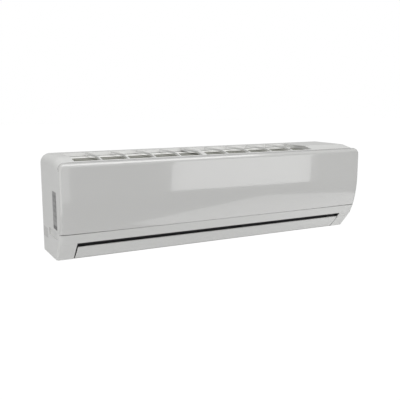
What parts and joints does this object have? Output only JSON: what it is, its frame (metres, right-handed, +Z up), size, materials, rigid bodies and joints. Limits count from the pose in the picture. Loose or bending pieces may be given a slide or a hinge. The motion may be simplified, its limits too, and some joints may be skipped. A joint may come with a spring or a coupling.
{
  "type": "mini split indoor unit",
  "caption": "Wall-mounted split air conditioner indoor unit with swing-up front panel, louvres, guide vanes, cross-flow fan, coil, filters and wall plate.",
  "frame": {"origin": "centre of the wall plate's four-hole screw pattern, on the wall's surface", "axes": "+X along the unit's width, to the right seen from the room; +Y into the wall; +Z up"},
  "size_m": [1.06, 0.218, 0.298],
  "materials": {
    "casing": "satin white moulding",
    "panel": "glossy white moulding",
    "plate_label": "satin grey, blank",
    "chassis": "satin off-white moulding",
    "duct": "dull dark grey moulding",
    "rubber": "dull",
    "louvre": "satin white moulding",
    "inner_blade": "satin dark grey moulding",
    "stepper_steel": "plain zinc plated",
    "vanes": "satin dark grey moulding",
    "filter": "grey net in a frame",
    "fins": "fine bright fins",
    "galvanised": "galvanised sheet",
    "copper": "bare copper",
    "nut_brass": "turned brass",
    "clamp_plastic": "satin white moulding",
    "fan_plastic": "satin black moulding",
    "shaft_steel": "ground steel",
    "motor": "dull white potting",
    "control_plastic": "dull white moulding",
    "board": "green laminate",
    "components": "dull black",
    "terminal": "dull dark moulding",
    "display": "smoked window",
    "button": "satin white moulding",
    "sensor": "satin white moulding",
    "sensor_copper": "bare copper"
  },
  "bodies": {
    "wall_bracket": {"wall_plate": "galvanised"},
    "unit": {"front_casing": "casing", "knockout_cover_left": "casing", "knockout_cover_right": "casing", "rating_plate": "plate_label", "rear_chassis": "chassis", "outlet_duct": "duct", "drain_plug": "rubber", "louvre_motor": "stepper_steel", "air_filter_left": "filter", "air_filter_right": "filter", "evaporator_front_lower": "fins", "evaporator_front_upper": "fins", "evaporator_rear": "fins", "coil_plate_left": "galvanised", "coil_plate_right": "galvanised", "return_bends": "copper", "gas_pipe": "copper", "liquid_pipe": "copper", "gas_flare_nut": "nut_brass", "liquid_flare_nut": "nut_brass", "pipe_clamp": "clamp_plastic", "bearing_housing": "chassis", "fan_bearing": "rubber", "fan_motor": "motor", "motor_clamp": "chassis", "control_box": "control_plastic", "control_cover": "galvanised", "circuit_board": "board", "board_parts": "components", "terminal_block": "terminal", "terminal_cover": "casing", "display_module": "display", "room_sensor": "sensor", "coil_sensor": "sensor_copper", "casing_screws": "shaft_steel"},
    "panel": {"front_panel": "panel"},
    "fan": {"cross_flow_fan": "fan_plastic", "fan_shaft": "shaft_steel", "motor_shaft": "shaft_steel"},
    "louvre": {"outer_louvre": "louvre"},
    "inner_blade": {"inner_louvre": "inner_blade"},
    "link": {"louvre_link": "galvanised"},
    "bar_left": {"vane_bar_left": "galvanised"},
    "bar_right": {"vane_bar_right": "galvanised"},
    "button": {"test_button": "button"},
    "vane_1": {"vane_1": "vanes"},
    "vane_2": {"vane_2": "vanes"},
    "vane_3": {"vane_3": "vanes"},
    "vane_4": {"vane_4": "vanes"},
    "vane_5": {"vane_5": "vanes"},
    "vane_6": {"vane_6": "vanes"},
    "vane_7": {"vane_7": "vanes"},
    "vane_8": {"vane_8": "vanes"},
    "vane_9": {"vane_9": "vanes"},
    "vane_10": {"vane_10": "vanes"}
  },
  "joints": [
    {"name": "unit_lift", "type": "slide", "parent": "wall_bracket", "child": "unit", "axis": [0, 0, 1], "range_m": [0, 0.012]},
    {"name": "panel_hinge", "type": "hinge", "parent": "unit", "child": "panel", "pos_m": [0, -0.202, 0.1285], "axis": [-1, 0, 0], "range_deg": [0, 65]},
    {"name": "fan_spin", "type": "hinge", "parent": "unit", "child": "fan", "pos_m": [0, -0.101, -0.01], "axis": [1, 0, 0], "continuous": true},
    {"name": "louvre_swing", "type": "hinge", "parent": "unit", "child": "louvre", "pos_m": [0, -0.141, -0.132], "axis": [1, 0, 0], "range_deg": [0, 70]},
    {"name": "inner_swing", "type": "hinge", "parent": "unit", "child": "inner_blade", "pos_m": [0, -0.15005, -0.11446], "axis": [1, 0, 0], "range_deg": [0, 70]},
    {"name": "link_swing", "type": "hinge", "parent": "louvre", "child": "link", "pos_m": [0.465, -0.13393, -0.12493], "axis": [1, 0, 0], "range_deg": [-70, 0]},
    {"name": "vane_1_swing", "type": "hinge", "parent": "unit", "child": "vane_1", "pos_m": [-0.44317, -0.10055, -0.11588], "axis": [0, -0.7071, 0.7071], "range_deg": [-30, 30]},
    {"name": "vane_2_swing", "type": "hinge", "parent": "unit", "child": "vane_2", "pos_m": [-0.3535, -0.10055, -0.11588], "axis": [0, -0.7071, 0.7071], "range_deg": [-30, 30]},
    {"name": "vane_3_swing", "type": "hinge", "parent": "unit", "child": "vane_3", "pos_m": [-0.26383, -0.10055, -0.11588], "axis": [0, -0.7071, 0.7071], "range_deg": [-30, 30]},
    {"name": "vane_4_swing", "type": "hinge", "parent": "unit", "child": "vane_4", "pos_m": [-0.17417, -0.10055, -0.11588], "axis": [0, -0.7071, 0.7071], "range_deg": [-30, 30]},
    {"name": "vane_5_swing", "type": "hinge", "parent": "unit", "child": "vane_5", "pos_m": [-0.0845, -0.10055, -0.11588], "axis": [0, -0.7071, 0.7071], "range_deg": [-30, 30]},
    {"name": "vane_6_swing", "type": "hinge", "parent": "unit", "child": "vane_6", "pos_m": [0.00517, -0.10055, -0.11588], "axis": [0, -0.7071, 0.7071], "range_deg": [-30, 30]},
    {"name": "vane_7_swing", "type": "hinge", "parent": "unit", "child": "vane_7", "pos_m": [0.09483, -0.10055, -0.11588], "axis": [0, -0.7071, 0.7071], "range_deg": [-30, 30]},
    {"name": "vane_8_swing", "type": "hinge", "parent": "unit", "child": "vane_8", "pos_m": [0.1845, -0.10055, -0.11588], "axis": [0, -0.7071, 0.7071], "range_deg": [-30, 30]},
    {"name": "vane_9_swing", "type": "hinge", "parent": "unit", "child": "vane_9", "pos_m": [0.27417, -0.10055, -0.11588], "axis": [0, -0.7071, 0.7071], "range_deg": [-30, 30]},
    {"name": "vane_10_swing", "type": "hinge", "parent": "unit", "child": "vane_10", "pos_m": [0.36383, -0.10055, -0.11588], "axis": [0, -0.7071, 0.7071], "range_deg": [-30, 30]},
    {"name": "bar_left_swing", "type": "hinge", "parent": "vane_1", "child": "bar_left", "pos_m": [-0.44317, -0.15217, -0.08689], "axis": [0, -0.7071, 0.7071], "range_deg": [-30, 30]},
    {"name": "bar_right_swing", "type": "hinge", "parent": "vane_6", "child": "bar_right", "pos_m": [0.00517, -0.15217, -0.08689], "axis": [0, -0.7071, 0.7071], "range_deg": [-30, 30]},
    {"name": "button_press", "type": "slide", "parent": "unit", "child": "button", "axis": [0, 1, 0], "range_m": [0, 0.0015], "stiffness_N_per_m": 400}
  ],
  "couplings": [
    {"joint": "inner_swing", "follows": "louvre_swing", "ratio": 1},
    {"joint": "link_swing", "follows": "louvre_swing", "ratio": -1},
    {"joint": "vane_2_swing", "follows": "vane_1_swing", "ratio": 1},
    {"joint": "vane_3_swing", "follows": "vane_1_swing", "ratio": 1},
    {"joint": "vane_4_swing", "follows": "vane_1_swing", "ratio": 1},
    {"joint": "vane_5_swing", "follows": "vane_1_swing", "ratio": 1},
    {"joint": "bar_left_swing", "follows": "vane_1_swing", "ratio": -1},
    {"joint": "vane_7_swing", "follows": "vane_6_swing", "ratio": 1},
    {"joint": "vane_8_swing", "follows": "vane_6_swing", "ratio": 1},
    {"joint": "vane_9_swing", "follows": "vane_6_swing", "ratio": 1},
    {"joint": "vane_10_swing", "follows": "vane_6_swing", "ratio": 1},
    {"joint": "bar_right_swing", "follows": "vane_6_swing", "ratio": -1}
  ]
}
